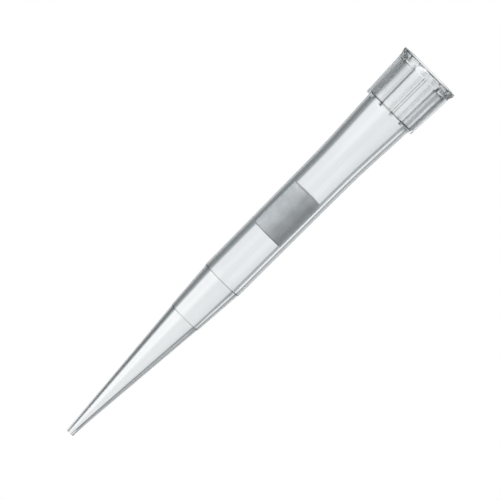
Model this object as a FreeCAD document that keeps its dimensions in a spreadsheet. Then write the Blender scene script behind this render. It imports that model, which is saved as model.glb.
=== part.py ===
"""Filter pipette tip of the 200 microlitre size: a moulded tip body and the filter plug pressed into it.

Sizes are in millimetres. The tip stands on the rim of its collar, so Z = 0 is the rim's plane, the axis
of every round surface is Z, and the point is at the top.
"""
import FreeCAD, Part
import math
import os
import Sketcher

# Driving dimensions: alias, value, meaning. Heights run up from the collar's rim, part by part.
DIMENSIONS = [
    ("LipHeight", 0.86, "height of the flared ring at the mouth"),
    ("CollarHeight", 6.34, "rim to the shoulder where the collar ends"),
    ("FlareHeight", 8.46, "shoulder to the knee, the stretch of steeper taper"),
    ("BarrelHeight", 19.2, "knee to the upper volume mark"),
    ("MarkSpacing", 6.1, "upper volume mark to the lower one"),
    ("PointHeight", 18.9, "lower volume mark to the open point"),
    ("LandRadius", 2.77, "sealing land, the true cylinder that grips the nozzle"),
    ("LandHeight", 2.91, "height of the sealing land"),
    ("SocketRise", 0.05, "how much wider the socket is at the funnel than at the land"),
    ("FunnelHeight", 1.2, "depth of the lead-in funnel"),
    ("FunnelBlendRadius", 0.5, "rounding where the funnel meets the socket"),
    ("RimWidth", 0.33, "width of the rim, up to the sharp edge that the mouth would have"),
    ("MouthEdgeRadius", 0.4, "rounding of the mouth's edge"),
    ("LipEdgeHeight", 0.3, "rim to where the flared ring starts to draw in"),
    ("LipEdgeRadius", 0.3, "rounding where the flared ring starts to draw in"),
    ("LipFlare", 0.16, "how far the rim stands out from the foot of the flared ring"),
    ("LipOverhang", 0.02, "how far the foot of the flared ring stands out from the ribs"),
    ("LipUndercut", 0.2, "height of the flared ring's sloping underside"),
    ("CollarWall", 0.605, "wall of the collar at the shoulder, between its ribs"),
    ("SkirtDraft", 0.175, "how much further out the collar's wall stands at the lip than at the shoulder"),
    ("RibCount", 12, "ribs round the collar"),
    ("RibThickness", 0.34, "thickness of a rib"),
    ("RibDepthAtLip", 0.26, "rib depth under the flared ring"),
    ("RibDepthAtEnd", 0.395, "rib depth at its free end, past the shoulder"),
    ("RibOverrun", 0.44, "how far a rib runs on past the shoulder"),
    ("RibCornerRadius", 0.08, "rounding of a rib's free corner"),
    ("ShoulderBevel", 0.05, "height of the bevel at the shoulder"),
    ("LedgeStep", 0.185, "step in from the land to the barrel's bore"),
    ("LedgeSetback", 0.06, "how far before the shoulder the land ends"),
    ("BarrelWall", 0.575, "wall from the shoulder to the upper volume mark"),
    ("KneeBoreRadius", 2.17, "bore at the knee"),
    ("KneeBlendRadius", 120, "rounding of the knee, inside and outside"),
    ("UpperMarkBoreRadius", 2.06, "bore at the upper volume mark"),
    ("LowerMarkBoreRadius", 1.7, "bore at the lower volume mark"),
    ("LowerMarkWall", 0.43, "wall at the lower volume mark"),
    ("MarkStep", 0.06, "step of the wall at a volume mark, outside and in the bore"),
    ("NibHeight", 2.1, "height of the last stretch before the point, which tapers less"),
    ("NibBoreRadius", 0.39, "bore where that stretch starts"),
    ("NibWall", 0.235, "wall where that stretch starts"),
    ("OrificeRadius", 0.26, "bore at the open point"),
    ("PointWall", 0.25, "wall at the open point"),
    ("FilterSetback", 5.07, "knee to the near face of the filter plug"),
    ("FilterHeight", 6.68, "height of the filter plug"),
]

# Heights of the stations along the axis, as rules on the sheet's cells.
LIP = "Sizes.LipHeight"
SHOULDER = "Sizes.CollarHeight"
LAND_END = f"{SHOULDER} - Sizes.LedgeSetback"
KNEE = f"{SHOULDER} + Sizes.FlareHeight"
UPPER_MARK = f"{KNEE} + Sizes.BarrelHeight"
LOWER_MARK = f"{UPPER_MARK} + Sizes.MarkSpacing"
POINT = f"{LOWER_MARK} + Sizes.PointHeight"
NIB = f"{POINT} - Sizes.NibHeight"
RIB_END = f"{SHOULDER} + Sizes.RibOverrun"
FILTER_NEAR = f"{KNEE} + Sizes.FilterSetback"
FILTER_FAR = f"{FILTER_NEAR} + Sizes.FilterHeight"

# Radii at those stations. The bore drives, and the outside follows it by the wall.
LAND_BORE = "Sizes.LandRadius"
MOUTH_BORE = f"{LAND_BORE} + Sizes.SocketRise"
BARREL_BORE = f"{LAND_BORE} - Sizes.LedgeStep"
SKIRT_AT_SHOULDER = f"{LAND_BORE} + Sizes.CollarWall"
SKIRT_AT_LIP = f"{SKIRT_AT_SHOULDER} + Sizes.SkirtDraft"
SHOULDER_FOOT = f"{BARREL_BORE} + Sizes.BarrelWall"
RIB_AT_LIP = f"{SKIRT_AT_LIP} + Sizes.RibDepthAtLip"
RIB_AT_END = f"{SHOULDER_FOOT} + Sizes.RibDepthAtEnd"
LIP_FOOT = f"{RIB_AT_LIP} + Sizes.LipOverhang"
RIM_OUTSIDE = f"{LIP_FOOT} + Sizes.LipFlare"
KNEE_OUTSIDE = "Sizes.KneeBoreRadius + Sizes.BarrelWall"
UPPER_MARK_OUTSIDE = "Sizes.UpperMarkBoreRadius + Sizes.BarrelWall"
LOWER_MARK_OUTSIDE = "Sizes.LowerMarkBoreRadius + Sizes.LowerMarkWall"
NIB_OUTSIDE = "Sizes.NibBoreRadius + Sizes.NibWall"
POINT_OUTSIDE = "Sizes.OrificeRadius + Sizes.PointWall"


def barrel_bore_at(distance):
    """The rule for the bore's radius at a distance past the knee, inside the barrel's even taper."""
    narrowing = "(Sizes.KneeBoreRadius - Sizes.UpperMarkBoreRadius)"
    return f"Sizes.KneeBoreRadius - {narrowing} * ({distance}) / Sizes.BarrelHeight"


def make_sheet(doc):
    """Writes the driving dimensions into a spreadsheet, one alias a row."""
    sheet = doc.addObject("Spreadsheet::Sheet", "Sizes")
    for row, (alias, value, meaning) in enumerate(DIMENSIONS, start=1):
        sheet.set(f"A{row}", alias)
        sheet.set(f"B{row}", str(value))
        sheet.set(f"C{row}", meaning)
        sheet.setAlias(f"B{row}", alias)
    doc.recompute()
    return sheet


def make_body(doc, label):
    """Starts a body whose label is the name of its part."""
    body = doc.addObject("PartDesign::Body", label)
    body.Label = label
    return body


def make_sketch(body, name):
    """Starts a sketch on the body's own XZ plane, where x is the radius and y is the height."""
    sketch = body.newObject("Sketcher::SketchObject", name)
    plane = next(item for item in body.Origin.OriginFeatures if item.Role == "XZ_Plane")
    sketch.AttachmentSupport = [(plane, "")]
    sketch.MapMode = "FlatFace"
    return sketch


def bind(sketch, name, rule, kind, *picked):
    """Adds a dimension between the picked points or on the picked edge, and ties it to its rule."""
    index = sketch.addConstraint(Sketcher.Constraint(kind, *picked, sketch.evalExpression(rule)))
    sketch.renameConstraint(index, name)
    sketch.setExpression(f"Constraints.{name}", rule)


def pin_point(sketch, geometry, end, name, radius_rule, height_rule):
    """Ties one point to its radius and its height, or puts it on the axis or the rim's plane at zero."""
    rim_line, axis_line, origin = -1, -2, (-1, 1)
    for kind, word, rule, line in (("DistanceX", "radius", radius_rule, axis_line),
                                   ("DistanceY", "height", height_rule, rim_line)):
        if rule == "0":
            sketch.addConstraint(Sketcher.Constraint("PointOnObject", geometry, end, line))
        else:
            bind(sketch, f"{name}_{word}", rule, kind, *origin, geometry, end)


def tangent_points(before, corner, after, radius):
    """The two ends of the arc that rounds a corner, and the middle of the arc between them."""
    to_before, to_after = (before - corner).normalize(), (after - corner).normalize()
    half_angle = to_before.getAngle(to_after) / 2
    reach = radius / math.tan(half_angle)
    bisector = (to_before + to_after).normalize()
    centre = corner + bisector * (radius / math.sin(half_angle))
    return corner + to_before * reach, centre - bisector * radius, corner + to_after * reach


def round_corner(sketch, name, corner, arc_points, incoming, outgoing, rules):
    """Puts a tangent arc between two edges, sized and placed by the point where the edges would meet."""
    start, end = 1, 2
    radius_rule, height_rule, rounding_rule = rules
    arc = sketch.addGeometry(Part.Arc(*arc_points))

    def distance_from_first_edge(which):
        return sketch.getPoint(arc, which).distanceToPoint(arc_points[0])

    first, last = sorted((start, end), key=distance_from_first_edge)
    sketch.addConstraint(Sketcher.Constraint("Tangent", incoming, end, arc, first))
    sketch.addConstraint(Sketcher.Constraint("Tangent", arc, last, outgoing, start))
    bind(sketch, f"{name}_rounding", rounding_rule, "Radius", arc)
    meeting_point = sketch.addGeometry(Part.Point(corner), True)
    for edge in (incoming, outgoing):
        sketch.addConstraint(Sketcher.Constraint("PointOnObject", meeting_point, start, edge))
    pin_point(sketch, meeting_point, start, name, radius_rule, height_rule)


def draw_outline(sketch, corners):
    """Draws a closed outline through named corners: (name, radius rule, height rule[, rounding rule])."""
    start, end = 1, 2
    points = [FreeCAD.Vector(sketch.evalExpression(radius_rule), sketch.evalExpression(height_rule), 0)
              for _, radius_rule, height_rule, *_ in corners]
    arcs = []
    for index, (_, _, _, *rounding) in enumerate(corners):
        arc_points = [points[index]] * 3
        if rounding:
            after = points[(index + 1) % len(points)]
            radius = sketch.evalExpression(rounding[0])
            arc_points = tangent_points(points[index - 1], points[index], after, radius)
        arcs.append(arc_points)

    edges = []
    for index, arc_points in enumerate(arcs):
        next_arc_points = arcs[(index + 1) % len(arcs)]
        edges.append(sketch.addGeometry(Part.LineSegment(arc_points[-1], next_arc_points[0])))
    for index, (name, radius_rule, height_rule, *rounding) in enumerate(corners):
        incoming, outgoing = edges[index - 1], edges[index]
        if rounding:
            rules = (radius_rule, height_rule, rounding[0])
            round_corner(sketch, name, points[index], arcs[index], incoming, outgoing, rules)
        else:
            sketch.addConstraint(Sketcher.Constraint("Coincident", incoming, end, outgoing, start))
            pin_point(sketch, outgoing, start, name, radius_rule, height_rule)


def revolve(body, sketch, name):
    """Turns a sketch round the axis."""
    turned = body.newObject("PartDesign::Revolution", name)
    turned.Profile = sketch
    turned.ReferenceAxis = (sketch, ["V_Axis"])
    turned.Angle = 360
    return turned


def make_tip_body(doc):
    """The moulded tip: a turned wall with the ribs of the collar patterned round it."""
    body = make_body(doc, "tip_body")

    wall = make_sketch(body, "WallSection")
    draw_outline(wall, [
        ("rim_outside", RIM_OUTSIDE, "0"),
        ("lip_edge", RIM_OUTSIDE, "Sizes.LipEdgeHeight", "Sizes.LipEdgeRadius"),
        ("lip_foot", LIP_FOOT, LIP),
        ("skirt_top", SKIRT_AT_LIP, f"{LIP} + Sizes.LipUndercut"),
        ("shoulder", SKIRT_AT_SHOULDER, SHOULDER),
        ("shoulder_foot", SHOULDER_FOOT, f"{SHOULDER} + Sizes.ShoulderBevel"),
        ("knee_outside", KNEE_OUTSIDE, KNEE, "Sizes.KneeBlendRadius"),
        ("upper_mark", UPPER_MARK_OUTSIDE, UPPER_MARK),
        ("upper_mark_foot", f"{UPPER_MARK_OUTSIDE} - Sizes.MarkStep", f"{UPPER_MARK} + Sizes.MarkStep"),
        ("lower_mark", LOWER_MARK_OUTSIDE, LOWER_MARK),
        ("lower_mark_foot", f"{LOWER_MARK_OUTSIDE} - Sizes.MarkStep", f"{LOWER_MARK} + Sizes.MarkStep"),
        ("nib_outside", NIB_OUTSIDE, NIB),
        ("point_outside", POINT_OUTSIDE, POINT),
        ("orifice", "Sizes.OrificeRadius", POINT),
        ("nib_bore", "Sizes.NibBoreRadius", NIB),
        ("lower_mark_bore_foot", "Sizes.LowerMarkBoreRadius - Sizes.MarkStep / 2", f"{LOWER_MARK} + Sizes.MarkStep / 2"),
        ("lower_mark_bore", "Sizes.LowerMarkBoreRadius + Sizes.MarkStep / 2", f"{LOWER_MARK} - Sizes.MarkStep / 2"),
        ("upper_mark_bore_foot", "Sizes.UpperMarkBoreRadius - Sizes.MarkStep / 2", f"{UPPER_MARK} + Sizes.MarkStep / 2"),
        ("upper_mark_bore", "Sizes.UpperMarkBoreRadius + Sizes.MarkStep / 2", f"{UPPER_MARK} - Sizes.MarkStep / 2"),
        ("knee_bore", "Sizes.KneeBoreRadius", KNEE, "Sizes.KneeBlendRadius"),
        ("ledge_foot", BARREL_BORE, f"{LAND_END} + Sizes.LedgeStep"),
        ("land_end", LAND_BORE, LAND_END),
        ("land_start", LAND_BORE, f"{LAND_END} - Sizes.LandHeight"),
        ("socket_mouth", MOUTH_BORE, "Sizes.FunnelHeight", "Sizes.FunnelBlendRadius"),
        ("rim_inside", f"{RIM_OUTSIDE} - Sizes.RimWidth", "0", "Sizes.MouthEdgeRadius"),
    ])
    turned_wall = revolve(body, wall, "TurnedWall")

    rib_side = make_sketch(body, "RibSide")
    draw_outline(rib_side, [
        ("root_at_lip", f"{SKIRT_AT_LIP} - Sizes.CollarWall / 2", LIP),
        ("edge_at_lip", RIB_AT_LIP, LIP),
        ("free_corner", RIB_AT_END, RIB_END, "Sizes.RibCornerRadius"),
        ("root_at_end", f"{SHOULDER_FOOT} - Sizes.BarrelWall / 2", RIB_END),
    ])
    rib = body.newObject("PartDesign::Pad", "Rib")
    rib.Profile = rib_side
    rib.SideType = "Symmetric"
    rib.setExpression("Length", "Sizes.RibThickness")
    doc.recompute()

    ribs = body.newObject("PartDesign::PolarPattern", "Ribs")
    ribs.Originals = [rib]
    ribs.Axis = (wall, ["V_Axis"])
    ribs.Angle = 360
    ribs.setExpression("Occurrences", "Sizes.RibCount")
    body.Tip = ribs
    doc.recompute()
    if ribs.Shape.Volume <= turned_wall.Shape.Volume:
        raise RuntimeError("the ribs added nothing to the wall")
    return body


def make_filter_plug(doc):
    """The sintered plug, whose side takes the bore's own taper where it is seated."""
    body = make_body(doc, "filter_plug")
    section = make_sketch(body, "PlugSection")
    near_radius = barrel_bore_at("Sizes.FilterSetback")
    far_radius = barrel_bore_at("Sizes.FilterSetback + Sizes.FilterHeight")
    draw_outline(section, [
        ("near_centre", "0", FILTER_NEAR),
        ("near_edge", near_radius, FILTER_NEAR),
        ("far_edge", far_radius, FILTER_FAR),
        ("far_centre", "0", FILTER_FAR),
    ])
    body.Tip = revolve(body, section, "TurnedPlug")
    doc.recompute()
    return body


def check(doc, bodies):
    """Stops if any object failed to recompute or any part isn't one valid solid."""
    for item in doc.Objects:
        if "Invalid" in item.State or "Error" in item.State:
            raise RuntimeError(f"{item.Label} failed: {item.State}")
    for body in bodies:
        if body.Shape.isNull() or not body.Shape.isValid() or len(body.Shape.Solids) != 1:
            raise RuntimeError(f"{body.Label} isn't one valid solid")


def main():
    doc = FreeCAD.newDocument("FilterPipetteTip")
    make_sheet(doc)
    bodies = [make_tip_body(doc), make_filter_plug(doc)]
    doc.recompute()
    check(doc, bodies)
    os.makedirs("parts", exist_ok=True)
    for body in bodies:
        body.Shape.exportStep(f"parts/{body.Label}.step")
        box = body.Shape.optimalBoundingBox(False)
        print(f"{body.Label}: {body.Shape.Volume:.3f} cubic mm, Z {box.ZMin:.3f} to {box.ZMax:.3f}")


main()
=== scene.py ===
"""Looks of the filter pipette tip: a clear moulded body with a ribbed collar, and a filter plug."""
import math

import bmesh
import bpy
import numpy as np
from mathutils import Matrix, Vector, noise


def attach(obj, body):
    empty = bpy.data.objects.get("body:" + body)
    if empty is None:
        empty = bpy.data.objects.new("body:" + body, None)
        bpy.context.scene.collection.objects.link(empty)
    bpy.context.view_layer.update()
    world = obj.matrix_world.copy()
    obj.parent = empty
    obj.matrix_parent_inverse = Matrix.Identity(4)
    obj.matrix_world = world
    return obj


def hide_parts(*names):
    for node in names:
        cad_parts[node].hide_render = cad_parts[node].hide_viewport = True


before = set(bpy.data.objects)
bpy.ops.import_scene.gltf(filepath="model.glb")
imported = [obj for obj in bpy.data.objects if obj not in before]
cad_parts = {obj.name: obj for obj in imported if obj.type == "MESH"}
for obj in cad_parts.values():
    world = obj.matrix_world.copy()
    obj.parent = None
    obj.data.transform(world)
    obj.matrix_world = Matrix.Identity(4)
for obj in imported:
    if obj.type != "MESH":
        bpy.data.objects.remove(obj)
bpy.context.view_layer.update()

MM = 0.001

# Sizes are in millimetres and, apart from fine trim, as the CAD model has them.
# Heights run up from the collar's rim.
LIP_EDGE = 0.3
LIP_TOP = 0.86
SKIRT_TOP = 1.06
FUNNEL_END = 1.2
LAND_END = 6.28
SHOULDER = 6.34
RIB_END = 6.78
KNEE = 14.8
PLUG_NEAR = 19.87
PLUG_FAR = 26.55
UPPER_MARK = 34.0
LOWER_MARK = 40.1
POINT = 59.0
NIB = POINT - 2.1

# Radii of the outside, from the rim to the point.
RIM_MIDDLE = 3.9
RIM_OUTSIDE = 3.985
LIP_OUTSIDE = 3.99
UNDERCUT = 3.7
SKIRT_AT_LIP = 3.55
SKIRT_AT_SHOULDER = 3.375
BARREL_AT_SHOULDER = 3.16
BARREL_AT_RIB_END = 3.148
KNEE_OUTSIDE = 2.745
UPPER_MARK_OUTSIDE = 2.635
LOWER_MARK_OUTSIDE = 2.13
NIB_OUTSIDE = 0.625
POINT_OUTSIDE = 0.51
POINT_FACE_OUTER = 0.45
POINT_FACE_INNER = 0.35

# Radii of the bore, from the mouth to the orifice.
MOUTH_BORE = 3.66
SOCKET_BORE = 2.82
LAND_BORE = 2.77
KNEE_BORE = 2.17
UPPER_MARK_BORE = 2.06
LOWER_MARK_BORE = 1.7
NIB_BORE = 0.39
ORIFICE = 0.26

UNDERCUT_HEIGHT = 0.07
SHOULDER_BEVEL = 0.05
LAND_HEIGHT = 2.91
LEDGE_STEP = 0.185

# A volume mark is a step of the wall: a narrow shelf outside and a short cone in the bore.
MARK_STEP = 0.06
MARK_SHELF = 0.01

RIB_COUNT = 12
RIB_HALF_AT_LIP = 0.18
RIB_HALF_AT_END = 0.155
RIB_REACH_AT_LIP = 3.81
RIB_REACH_AT_END = 3.555
RIB_CORNER = 0.08
RIB_CORNER_TURNS = (0, 25, 50, 70)
RING_MARGIN = 0.01
RIB_EDGE = 0.15
RIB_ROOT_FILLET = 0.06
RIB_LEAST_HALF_FLAT = 0.01

RIM_ROUNDING = 0.05
LIP_ROUNDING = 0.3
SKIRT_ROUNDING = 0.08
FINE_ROUNDING = 0.02
MARK_ROUNDING = 0.01
KNEE_ROUNDING = 120.0
NIB_ROUNDING = 8.0
POINT_ROUNDING = 0.03
LAND_ROUNDING = 1.0
FUNNEL_ROUNDING = 0.5
MOUTH_ROUNDING = 0.4

PLUG_CLEARANCE = 0.012
PLUG_NEAR_ROUNDING = 0.12
PLUG_FAR_ROUNDING = 0.08
PLUG_SIDES = 180
PLUG_LONGEST_STEP = 0.07
SMOOTH_CENTRE = 0.3
PIT_DEPTH = 0.012
RAGGED_RISE = 0.05
RAGGED_ZONE = 0.5
RAGGED_SHIFT = Vector((7, 3, 1))

# Waves of the plug's unevenness in a millimetre.
PIT_WAVES = 6.0
GRAIN_WAVES = 14.0
RAGGED_WAVES = 2.2

# Where the plug's painted light and painted shadow change: the painted light at the near end by
# height, the painted shadow round the far rim by height and by radius too.
PAINTED_LIGHT_FULL_TO, PAINTED_LIGHT_GONE_AT = PLUG_NEAR + 0.3, PLUG_NEAR + 1.6
PAINTED_LIGHT_RAGGED = 0.8
PAINTED_SHADOW_FROM, PAINTED_SHADOW_FULL = PLUG_FAR - 0.22, PLUG_FAR - 0.02
PAINTED_SHADOW_IN_FROM, PAINTED_SHADOW_IN_FULL = 1.85, 1.98

# How rough the mould left the plastic, from place to place.
OUTSIDE_HAZE = 0.02
BARREL_HAZE = 0.06
SOCKET_HAZE = 0.2

# Points nearer to each other than this are one, and edges sharper than this stay sharp.
MERGE_WITHIN = 0.0004
SHARP_FROM = math.radians(32)

CAMERA_TURN, CAMERA_RISE, CAMERA_ROLL = -55.4, -3.5, -135.1
CAMERA_DISTANCE = 1000.0
VIEW_WIDTH = 57.67
AIM_OFF_MIDDLE = (0.0484, 0.2745, 0)

# The studio's brightness by degrees past the way the camera looks, to its right where positive.
# LEVEL is near the horizon, HIGH a little above it, TOP well above it and LOW below it.
LEVEL_STOPS = [
    (-180, 0.8), (-150, 1.2), (-120, 1.1), (-80, 0.5), (-60, 0.26), (-22, 0.26), (-12, 0.95),
    (13, 0.92), (18, 0.34), (36, 0.34), (45, 1.05), (75, 1.1), (95, 0.5), (122, 0.5),
    (134, 0.95), (156, 0.95), (168, 0.45), (180, 0.8),
]
HIGH_STOPS = [
    (-180, 0.3), (-150, 2.4), (-100, 2.4), (-85, 0.7), (-70, 0.1), (-40, 0.1), (-20, 0.25),
    (-12, 0.95), (12, 0.95), (17, 0.15), (38, 0.08), (55, 0.08), (80, 0.1), (95, 0.05),
    (160, 0.05), (180, 0.3),
]
TOP_STOPS = [
    (-180, 0.5), (-158, 0.9), (-138, 4.8), (-95, 4.8), (-80, 1.1), (-60, 1.0), (60, 0.8),
    (85, 0.3), (95, 0.1), (155, 0.1), (180, 0.5),
]
LOW_STOPS = [
    (-180, 0.9), (-166, 0.9), (-156, 0.5), (-110, 0.5), (-98, 1.0), (-64, 1.0), (-56, 0.35),
    (-24, 0.35), (-14, 0.9), (14, 0.9), (22, 0.4), (34, 0.4), (44, 1.0), (56, 1.0), (64, 0.4),
    (80, 0.4), (88, 1.0), (112, 1.0), (120, 0.35), (160, 0.35), (170, 0.9), (180, 0.9),
]
# What LEVEL gives way to, between which elevations in degrees.
GIVES_WAY = [(HIGH_STOPS, 4, 11), (TOP_STOPS, 30, 40), (LOW_STOPS, -10, -18)]

FLOOR_RADIUS = 400.0
FLOOR_DEPTH = 0.05
FLOOR_SIDES = 64
FADE_START, FADE_END = 200.0, 390.0

# Outlines of the wall: (radius, height, rounding of the corner).
LIP_OUTLINE = [
    (RIM_MIDDLE, 0.0, 0.0),
    (RIM_OUTSIDE, 0.0, RIM_ROUNDING),
    (LIP_OUTSIDE, LIP_EDGE, LIP_ROUNDING),
    (RIB_REACH_AT_LIP, LIP_TOP, 0.0),
]
SKIRT_OUTLINE = [
    (UNDERCUT, SKIRT_TOP - UNDERCUT_HEIGHT, 0.0),
    (SKIRT_AT_LIP, SKIRT_TOP, SKIRT_ROUNDING),
    (SKIRT_AT_SHOULDER, SHOULDER, FINE_ROUNDING),
    (BARREL_AT_SHOULDER, SHOULDER + SHOULDER_BEVEL, FINE_ROUNDING),
    (BARREL_AT_RIB_END, RIB_END, 0.0),
]
BARREL_OUTLINE = [
    (BARREL_AT_RIB_END, RIB_END, 0.0),
    (KNEE_OUTSIDE, KNEE, KNEE_ROUNDING),
    (UPPER_MARK_OUTSIDE, UPPER_MARK, MARK_ROUNDING),
    (UPPER_MARK_OUTSIDE - MARK_STEP, UPPER_MARK + MARK_SHELF, MARK_ROUNDING),
    (LOWER_MARK_OUTSIDE, LOWER_MARK, MARK_ROUNDING),
    (LOWER_MARK_OUTSIDE - MARK_STEP, LOWER_MARK + MARK_SHELF, MARK_ROUNDING),
    (NIB_OUTSIDE, NIB, NIB_ROUNDING),
    (POINT_OUTSIDE, POINT, POINT_ROUNDING),
    (POINT_FACE_OUTER, POINT, 0.0),
]
BORE_OUTLINE = [
    (POINT_FACE_INNER, POINT, 0.0),
    (ORIFICE, POINT, POINT_ROUNDING),
    (NIB_BORE, NIB, NIB_ROUNDING),
    (LOWER_MARK_BORE - MARK_STEP / 2, LOWER_MARK + MARK_STEP / 2, MARK_ROUNDING),
    (LOWER_MARK_BORE + MARK_STEP / 2, LOWER_MARK - MARK_STEP / 2, MARK_ROUNDING),
    (UPPER_MARK_BORE - MARK_STEP / 2, UPPER_MARK + MARK_STEP / 2, MARK_ROUNDING),
    (UPPER_MARK_BORE + MARK_STEP / 2, UPPER_MARK - MARK_STEP / 2, MARK_ROUNDING),
    (KNEE_BORE, KNEE, KNEE_ROUNDING),
    (LAND_BORE - LEDGE_STEP, LAND_END + LEDGE_STEP, FINE_ROUNDING),
    (LAND_BORE, LAND_END, FINE_ROUNDING),
    (LAND_BORE, LAND_END - LAND_HEIGHT, LAND_ROUNDING),
    (SOCKET_BORE, FUNNEL_END, FUNNEL_ROUNDING),
    (MOUTH_BORE, 0.0, MOUTH_ROUNDING),
    (RIM_MIDDLE, 0.0, 0.0),
]


def soften(outline, longest=1.3, turn_step=math.radians(10)):
    """Follows an outline with its corners rounded, in steps short enough to shade smoothly."""
    corners = [Vector((radius, height)) for radius, height, _ in outline]
    path = [corners[0]]
    for index in range(1, len(corners) - 1):
        corner, rounding = corners[index], outline[index][2]
        back = (corners[index - 1] - corner).normalized()
        ahead = (corners[index + 1] - corner).normalized()
        half_angle = back.angle(ahead) / 2
        if rounding <= 0 or math.pi - 2 * half_angle < 1e-4:
            path.append(corner)
            continue
        reach = rounding / math.tan(half_angle)
        centre = corner + (back + ahead).normalized() * rounding / math.sin(half_angle)
        first, last = corner + back * reach - centre, corner + ahead * reach - centre
        turn = first.angle(last)
        steps = max(3, math.ceil(turn / turn_step))
        for step in range(steps + 1):
            share = step / steps
            spoke = first * math.sin((1 - share) * turn) + last * math.sin(share * turn)
            path.append(centre + spoke / math.sin(turn))
    path.append(corners[-1])
    dense = [path[0]]
    for start, end in zip(path, path[1:]):
        pieces = max(1, math.ceil((end - start).length / longest))
        dense += [start.lerp(end, piece / pieces) for piece in range(1, pieces + 1)]
    return dense


def along_rib(height, at_lip, at_end):
    """A size of the rib at a height, between its values at the lip and at the free end."""
    share = (height - LIP_TOP) / (RIB_END - LIP_TOP)
    return at_lip + (at_end - at_lip) * share


def rib_reach(height):
    """How far out a rib's outer face stands at a height, with its free corner rounded."""
    reach = along_rib(height, RIB_REACH_AT_LIP, RIB_REACH_AT_END)
    into_corner = height - (RIB_END - RIB_CORNER)
    if into_corner > 0:
        reach -= RIB_CORNER - math.sqrt(max(RIB_CORNER ** 2 - into_corner ** 2, 0.0))
    return reach


def arc_points(centre, radius, start, end, steps):
    """Points along an arc, from angle start to angle end."""
    angles = np.linspace(start, end, steps + 1)
    return [(centre[0] + radius * math.cos(a), centre[1] + radius * math.sin(a)) for a in angles]


def half_pitch(radius, reach, half):
    """Half a rib's section and the skirt beside it, from the rib's middle to the gap's middle.

    The rib points along +X, and half is half its thickness.
    """
    edge = min(RIB_EDGE, (reach - radius) / 2, half - RIB_LEAST_HALF_FLAT)
    fillet = min(RIB_ROOT_FILLET, (reach - radius) / 2)
    points = [(reach, 0.0), (reach, (half - edge) / 2)]
    points += arc_points((reach - edge, half - edge), edge, 0.0, math.pi / 2, 4)
    fillet_centre = (math.sqrt((radius + fillet) ** 2 - (half + fillet) ** 2), half + fillet)
    meets_skirt = math.atan2(half + fillet, fillet_centre[0])
    points += arc_points(fillet_centre, fillet, -math.pi / 2, meets_skirt - math.pi, 3)
    gap_middle = math.pi / RIB_COUNT
    for share in np.linspace(0, 1, 5)[1:]:
        angle = meets_skirt + (gap_middle - meets_skirt) * share
        points.append((radius * math.cos(angle), radius * math.sin(angle)))
    return points


def ribbed_ring(radius, height):
    """A full ring of points round the collar at one height, ribs and all."""
    half_thickness = along_rib(height, RIB_HALF_AT_LIP, RIB_HALF_AT_END)
    half = half_pitch(radius, rib_reach(height), half_thickness)
    pitch = half[::-1] + [(x, -y) for x, y in half[1:-1]]
    ring = []
    for index in range(RIB_COUNT):
        spin = Matrix.Rotation(-2 * math.pi * index / RIB_COUNT, 2)
        ring += [spin @ Vector(point) for point in pitch]
    return [(x, y, height) for x, y in ring]


def round_ring(radius, height, angles):
    """A full ring of points on a circle."""
    return [(radius * math.cos(a), radius * math.sin(a), height) for a in angles]


def skin(rings, name, closed, haze=None):
    """Joins rings of equal length into a mesh, in metres; closed joins the last ring to the first.

    Haze, one number a ring, is how rough the mould left that ring.
    """
    count = len(rings[0])
    vertices = np.array(rings, dtype=float).reshape(-1, 3) * MM
    faces = []
    for ring in range(len(rings) if closed else len(rings) - 1):
        here, there = ring * count, (ring + 1) % len(rings) * count
        for spot in range(count):
            beside = (spot + 1) % count
            faces.append((here + spot, here + beside, there + beside, there + spot))
    mesh = bpy.data.meshes.new(name)
    mesh.from_pydata(vertices.tolist(), [], faces)
    if haze is not None:
        mark = mesh.attributes.new("haze", "FLOAT", "POINT")
        mark.data.foreach_set("value", np.repeat(np.array(haze, dtype=float), count))
    work = bmesh.new()
    work.from_mesh(mesh)
    bmesh.ops.remove_doubles(work, verts=work.verts, dist=MERGE_WITHIN * MM)
    bmesh.ops.recalc_face_normals(work, faces=work.faces)
    work.to_mesh(mesh)
    work.free()
    mesh.shade_smooth()
    mesh.set_sharp_from_angle(angle=SHARP_FROM)
    piece = bpy.data.objects.new(name, mesh)
    bpy.context.collection.objects.link(piece)
    return piece


def make_tip():
    """The moulded tip as one closed skin, out along the wall and back down the bore.

    Round rings have their points at the angles of a ribbed ring half way up the collar.
    """
    angles = [math.atan2(y, x) for x, y, _ in ribbed_ring(radius=3.15, height=4.0)]
    rings = [round_ring(radius, height, angles) for radius, height in soften(LIP_OUTLINE)]
    skirt = soften(SKIRT_OUTLINE)
    corner_start = RIB_END - RIB_CORNER
    collar = [point for point in skirt if point.y < corner_start - RING_MARGIN]
    (foot_radius, foot_height, _), (end_radius, end_height, _) = SKIRT_OUTLINE[-2:]
    slope = (end_radius - foot_radius) / (end_height - foot_height)
    for degrees in RIB_CORNER_TURNS:
        height = corner_start + RIB_CORNER * math.sin(math.radians(degrees))
        collar.append(Vector((end_radius + slope * (height - end_height), height)))
    collar.append(skirt[-1])
    rings += [ribbed_ring(radius, height) for radius, height in collar]
    rings += [round_ring(radius, height, angles) for radius, height in soften(BARREL_OUTLINE)]
    haze = [OUTSIDE_HAZE] * len(rings)
    bore = soften(BORE_OUTLINE)
    rings += [round_ring(radius, height, angles) for radius, height in bore]
    haze += [BARREL_HAZE if height > LAND_END else SOCKET_HAZE for _, height in bore]
    return skin(rings, "clear_tip", closed=True, haze=haze)


def plug_radius(height):
    """The plug's radius, which follows the bore's taper between the knee and the upper mark."""
    narrowing = (UPPER_MARK_BORE - KNEE_BORE) * (height - KNEE) / (UPPER_MARK - KNEE)
    return KNEE_BORE + narrowing - PLUG_CLEARANCE


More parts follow.
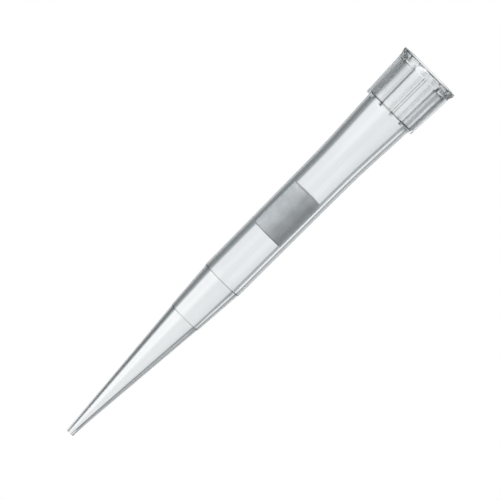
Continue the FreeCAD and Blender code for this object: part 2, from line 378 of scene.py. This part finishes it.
def make_plug():
    """The sintered plug, pitted between its beads and a little ragged at its near face."""
    angles = np.linspace(0, 2 * math.pi, PLUG_SIDES, endpoint=False)
    outline = [
        (0.0, PLUG_NEAR, 0.0),
        (plug_radius(PLUG_NEAR), PLUG_NEAR, PLUG_NEAR_ROUNDING),
        (plug_radius(PLUG_FAR), PLUG_FAR, PLUG_FAR_ROUNDING),
        (0.0, PLUG_FAR, 0.0),
    ]
    rings = []
    for radius, height in soften(outline, longest=PLUG_LONGEST_STEP):
        ring = []
        for angle in angles:
            x, y = radius * math.cos(angle), radius * math.sin(angle)
            spot = Vector((x, y, height))
            sink = 0.5 + 0.5 * noise.noise(spot * PIT_WAVES)
            sink += 0.35 * noise.noise(spot * GRAIN_WAVES)
            scale = 1 - PIT_DEPTH * max(0.0, sink) / max(radius, SMOOTH_CENTRE)
            near = max(0.0, 1 - (height - PLUG_NEAR) / RAGGED_ZONE)
            ragged = 0.5 + noise.noise(spot * RAGGED_WAVES + RAGGED_SHIFT)
            rise = RAGGED_RISE * near * ragged
            ring.append((x * scale, y * scale, height + max(0.0, rise)))
        rings.append(ring)
    return skin(rings, "filter_core", closed=False)


def set_inputs(tree, node, inputs):
    """Sets a node's inputs, by name or number, to values or to other nodes' outputs."""
    for key, source in inputs.items():
        if isinstance(source, bpy.types.NodeSocket):
            tree.links.new(source, node.inputs[key])
        else:
            node.inputs[key].default_value = source


def add_node(tree, kind, inputs=None, **settings):
    """Adds a node of a kind, with its settings and inputs."""
    node = tree.nodes.new(kind)
    for name, value in settings.items():
        setattr(node, name, value)
    set_inputs(tree, node, inputs or {})
    return node


def noise_at(tree, place, scale, detail):
    """Noise looked up at a place, in waves a metre."""
    inputs = {"Vector": place, "Scale": scale, "Detail": detail}
    return add_node(tree, "ShaderNodeTexNoise", inputs).outputs["Fac"]


def calculate(tree, operation, *numbers):
    """The result of one operation on numbers."""
    inputs = dict(enumerate(numbers))
    return add_node(tree, "ShaderNodeMath", inputs, operation=operation).outputs[0]


def remap(tree, value, start, end, to_start=0.0, to_end=1.0, curve="LINEAR"):
    """Maps start to end onto to_start to to_end, and holds the value beyond them."""
    inputs = {"Value": value, "From Min": start, "From Max": end}
    inputs.update({"To Min": to_start, "To Max": to_end})
    return add_node(tree, "ShaderNodeMapRange", inputs, interpolation_type=curve).outputs["Result"]


def ease(tree, value, start, end):
    """Goes smoothly from 0 at start to 1 at end."""
    return remap(tree, value, start, end, curve="SMOOTHSTEP")


def blend(tree, share, one, other):
    """The colour one at a share of 0, and the other at 1."""
    inputs = {"Factor": share, 6: one, 7: other}
    return add_node(tree, "ShaderNodeMix", inputs, data_type="RGBA").outputs[2]


def choose(tree, share, one, other):
    """The shader one at a share of 0, and the other at 1."""
    inputs = {0: share, 1: one.outputs[0], 2: other.outputs[0]}
    return add_node(tree, "ShaderNodeMixShader", inputs).outputs[0]


def height_of(tree, place):
    """A place's height."""
    return add_node(tree, "ShaderNodeSeparateXYZ", {"Vector": place}).outputs["Z"]


def length_of(tree, vector):
    """A vector's length."""
    return add_node(tree, "ShaderNodeVectorMath", {0: vector}, operation="LENGTH").outputs["Value"]


def bump(tree, height, strength, distance):
    """A bumped normal, its distance in millimetres."""
    inputs = {"Height": height, "Strength": strength, "Distance": distance * MM}
    return add_node(tree, "ShaderNodeBump", inputs).outputs["Normal"]


def new_material(name):
    """A material, its node tree and its shader."""
    material = bpy.data.materials.new(name)
    material.use_nodes = True
    return material, material.node_tree, material.node_tree.nodes["Principled BSDF"]


def clear_plastic():
    """Clear polypropylene: polished outside, hazier in the bore, with the mould's unevenness."""
    material, tree, shader = new_material("clear_polypropylene")
    place = add_node(tree, "ShaderNodeTexCoord").outputs["Object"]
    stretched = {"Vector": place, "Scale": (1, 1, 0.25)}
    along_tip = add_node(tree, "ShaderNodeMapping", stretched).outputs["Vector"]
    fine = noise_at(tree, along_tip, scale=1500.0, detail=3.0)
    uneven = remap(tree, fine, start=0.3, end=0.7, to_start=0.8, to_end=1.2)
    by_mould = add_node(tree, "ShaderNodeAttribute", attribute_name="haze").outputs["Fac"]
    waves = noise_at(tree, along_tip, scale=420.0, detail=1.0)
    set_inputs(tree, shader, {
        "Base Color": (0.985, 0.99, 0.995, 1),
        "IOR": 1.49,
        "Transmission Weight": 1.0,
        "Roughness": calculate(tree, "MULTIPLY", by_mould, uneven),
        "Normal": bump(tree, waves, strength=0.03, distance=0.02),
    })
    tint = {"Color": (0.5, 0.56, 0.585, 1), "Density": 200.0}
    absorbed = add_node(tree, "ShaderNodeVolumeAbsorption", tint).outputs["Volume"]
    set_inputs(tree, tree.nodes["Material Output"], {"Volume": absorbed})
    return material


def sintered_plastic():
    """Fused white beads, mottled and pitted, with painted light at the near face and a painted
    shadow round the far face.
    """
    material, tree, shader = new_material("sintered_polyethylene")
    place = add_node(tree, "ShaderNodeTexCoord").outputs["Object"]
    beads = noise_at(tree, place, scale=5200.0, detail=3.0)
    patches = noise_at(tree, place, scale=900.0, detail=2.0)
    height = height_of(tree, place)
    # pale is painted light, grey is the plug's own colour and dark is painted shadow.
    pale, grey, dark = (0.95, 0.955, 0.96, 1), (0.765, 0.79, 0.803, 1), (0.36, 0.37, 0.38, 1)

    # Painted light: the near end is made pale, with a ragged edge, as though lit through the
    # collar's mouth, and gives way to grey.
    ragged = calculate(tree, "MULTIPLY_ADD", patches, PAINTED_LIGHT_RAGGED * MM, height)
    painted_light_colour = blend(tree, ease(tree, ragged, PAINTED_LIGHT_FULL_TO * MM, PAINTED_LIGHT_GONE_AT * MM), pale, grey)

    # Painted shadow: a thin dark ring round the far face's rim, where the plug meets the bore.
    flat = {0: place, 1: (1, 1, 0)}
    across = add_node(tree, "ShaderNodeVectorMath", flat, operation="MULTIPLY").outputs["Vector"]
    shadow_near_side = ease(tree, length_of(tree, across), PAINTED_SHADOW_IN_FROM * MM, PAINTED_SHADOW_IN_FULL * MM)
    shadow_near_far_face = ease(tree, height, PAINTED_SHADOW_FROM * MM, PAINTED_SHADOW_FULL * MM)
    with_painted_shadow = blend(tree, calculate(tree, "MULTIPLY", shadow_near_far_face, shadow_near_side), painted_light_colour, dark)

    both = calculate(tree, "MULTIPLY", calculate(tree, "ADD", beads, patches), 0.5)
    mottle = remap(tree, both, start=0.4, end=0.6, to_start=0.91, to_end=1.06)
    mottled = {0: with_painted_shadow, "Scale": mottle}
    colour = add_node(tree, "ShaderNodeVectorMath", mottled, operation="SCALE").outputs["Vector"]
    set_inputs(tree, shader, {
        "Base Color": colour,
        "Roughness": 0.85,
        "Specular IOR Level": 0.2,
        "Normal": bump(tree, beads, strength=0.5, distance=0.06),
    })
    return material


def place_camera():
    """A long lens, rolled so that the tip lies from lower left to upper right."""
    turn, rise, roll = (math.radians(a) for a in (CAMERA_TURN, CAMERA_RISE, CAMERA_ROLL))
    data = bpy.data.cameras.new("camera")
    data.sensor_width = 36
    data.lens = data.sensor_width * CAMERA_DISTANCE / VIEW_WIDTH
    data.clip_start, data.clip_end = 0.01, 20
    camera = bpy.data.objects.new("camera", data)
    bpy.context.collection.objects.link(camera)
    flat = math.cos(rise)
    back = Vector((math.sin(turn) * flat, -math.cos(turn) * flat, math.sin(rise)))
    upright = (-back).to_track_quat("-Z", "Y").to_matrix()
    rolled = upright @ Matrix.Rotation(roll, 3, "Z")
    middle = Vector((0, 0, POINT / 2 * MM))
    aim = middle + rolled @ Vector(AIM_OFF_MIDDLE) * MM
    camera.location = aim + back * (CAMERA_DISTANCE * MM)
    camera.rotation_mode = "QUATERNION"
    camera.rotation_quaternion = rolled.to_quaternion()
    bpy.context.scene.camera = camera


def studio_grey(level):
    """The studio's colour at a brightness, a little cool where it is grey."""
    shade = max(0.0, 1 - level)
    return (level * (1 - 0.1 * shade), level, level * (1 + 0.05 * shade), 1)


def ramp(tree, turn, stops):
    """The studio's colour by turn, which runs from 0 to 1, from stops of (degrees, brightness)."""
    node = add_node(tree, "ShaderNodeValToRGB", {"Fac": turn})
    elements = node.color_ramp.elements
    for element, (degrees, level) in ((elements[0], stops[0]), (elements[1], stops[-1])):
        element.position = (degrees + 180) / 360
        element.color = studio_grey(level)
    for degrees, level in stops[1:-1]:
        elements.new((degrees + 180) / 360).color = studio_grey(level)
    return node.outputs["Color"]


def make_world(view_azimuth):
    """White to the camera; to the object a white backdrop, grey sides and a soft light high up."""
    world = bpy.data.worlds.new("studio")
    world.use_nodes = True
    tree = world.node_tree
    place = add_node(tree, "ShaderNodeTexCoord").outputs["Generated"]
    turned = {"Vector": place, "Rotation": (0, 0, -view_azimuth)}
    ahead = {"Vector": add_node(tree, "ShaderNodeMapping", turned).outputs["Vector"]}
    turn = add_node(tree, "ShaderNodeTexGradient", ahead, gradient_type="RADIAL").outputs["Fac"]
    climb = height_of(tree, place)
    colour = ramp(tree, turn, LEVEL_STOPS)
    for stops, start, end in GIVES_WAY:
        start, end = math.sin(math.radians(start)), math.sin(math.radians(end))
        colour = blend(tree, ease(tree, climb, start, end), colour, ramp(tree, turn, stops))
    room = tree.nodes["Background"]
    set_inputs(tree, room, {"Color": colour})
    white = add_node(tree, "ShaderNodeBackground", {"Color": (1, 1, 1, 1)})
    to_camera = add_node(tree, "ShaderNodeLightPath").outputs["Is Camera Ray"]
    set_inputs(tree, tree.nodes["World Output"], {"Surface": choose(tree, to_camera, room, white)})
    bpy.context.scene.world = world


def make_floor():
    """A plain pale round floor that takes the object's shadow and fades into the white around it.

    Clear and shiny surfaces look through it, at the studio's own pale lower half.
    """
    angles = np.linspace(0, 2 * math.pi, FLOOR_SIDES, endpoint=False)
    edge = [(x * MM, y * MM, z * MM) for x, y, z in round_ring(FLOOR_RADIUS, -FLOOR_DEPTH, angles)]
    mesh = bpy.data.meshes.new("floor")
    mesh.from_pydata(edge, [], [tuple(range(FLOOR_SIDES))])
    floor = bpy.data.objects.new("floor", mesh)
    bpy.context.collection.objects.link(floor)
    material, tree, shader = new_material("floor_pale")
    path = add_node(tree, "ShaderNodeLightPath").outputs
    side = add_node(tree, "ShaderNodeNewGeometry").outputs
    set_inputs(tree, shader, {
        "Base Color": (0.7, 0.7, 0.7, 1),
        "Roughness": 0.7,
        "Specular IOR Level": 0.2,
        "Emission Color": (0.45, 0.45, 0.45, 1),
        "Emission Strength": path["Is Camera Ray"],
    })
    off_middle = length_of(tree, side["Position"])
    see_through = ease(tree, off_middle, FADE_START * MM, FADE_END * MM)
    for other in (side["Backfacing"], path["Is Transmission Ray"], path["Is Glossy Ray"]):
        see_through = calculate(tree, "MAXIMUM", see_through, other)
    clear = add_node(tree, "ShaderNodeBsdfTransparent")
    surface = choose(tree, see_through, shader, clear)
    set_inputs(tree, tree.nodes["Material Output"], {"Surface": surface})
    mesh.materials.append(material)


place_camera()
tip = make_tip()
tip.data.materials.append(clear_plastic())
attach(tip, "root")
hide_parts("tip_body")
plug = make_plug()
plug.data.materials.append(sintered_plastic())
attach(plug, "root")
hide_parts("filter_plug")
make_world(math.radians(90 + CAMERA_TURN))
make_floor()
bpy.context.scene.view_settings.view_transform = "Standard"
bpy.context.scene.cycles.max_bounces = 24
bpy.context.scene.cycles.transmission_bounces = 24
